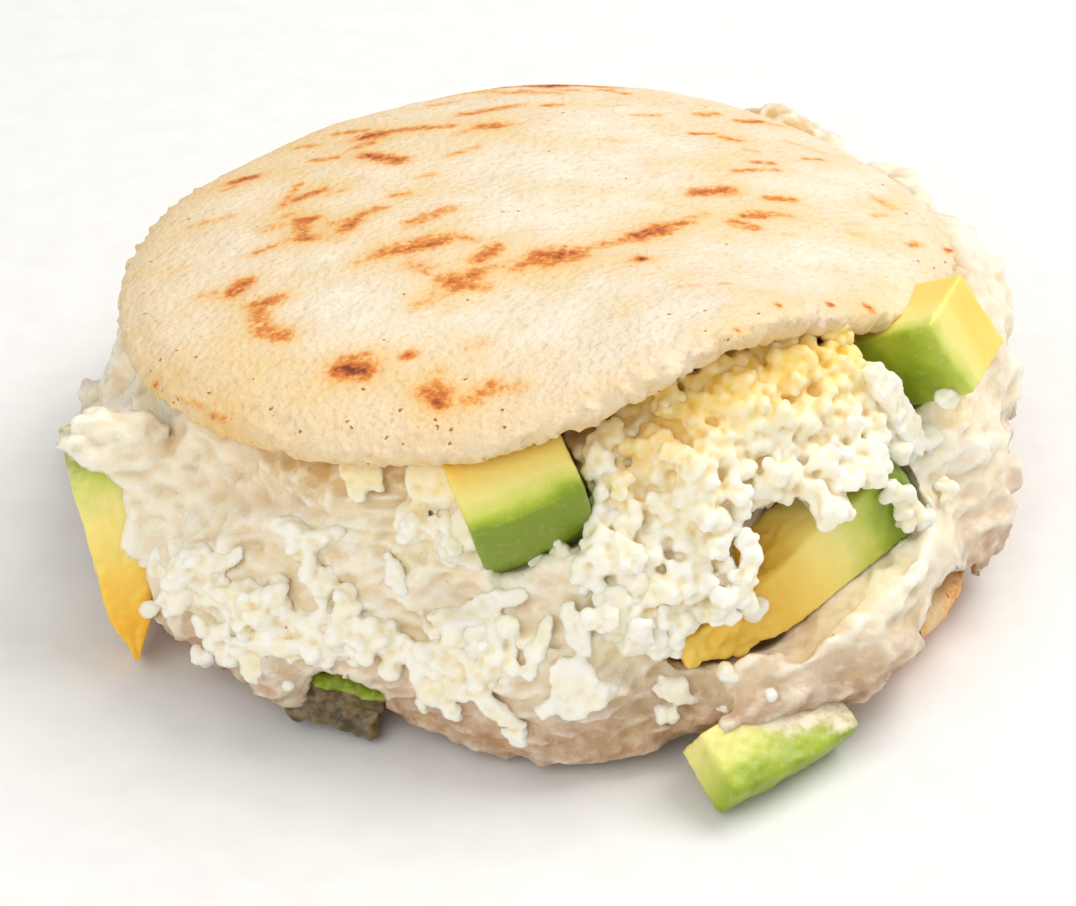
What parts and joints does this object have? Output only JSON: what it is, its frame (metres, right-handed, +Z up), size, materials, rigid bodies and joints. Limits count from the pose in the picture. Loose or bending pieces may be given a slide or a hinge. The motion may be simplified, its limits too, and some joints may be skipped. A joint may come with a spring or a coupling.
{
  "type": "filled corn arepa",
  "caption": "Round griddled corn arepa, split and overfilled with chicken salad, avocado chunks and grated white cheese, its upper half tilted open to the front.",
  "frame": {"origin": "middle of the lower half's flat underside, on the table", "axes": "+X to the right as seen from the open front, +Y away from the front, +Z up"},
  "size_m": [0.1279, 0.1357, 0.0534],
  "materials": {
    "masa": "matte",
    "salad": "satin",
    "cheese": "matte",
    "avocado": "satin"
  },
  "bodies": {
    "root": {"arepa_base": "masa", "arepa_lid": "masa", "chicken_salad": "salad", "grated_cheese": "cheese", "avocado_left": "avocado", "avocado_centre": "avocado", "avocado_back_right": "avocado", "avocado_wedge": "avocado", "avocado_front": "avocado", "avocado_low_left": "avocado"}
  },
  "joints": []
}
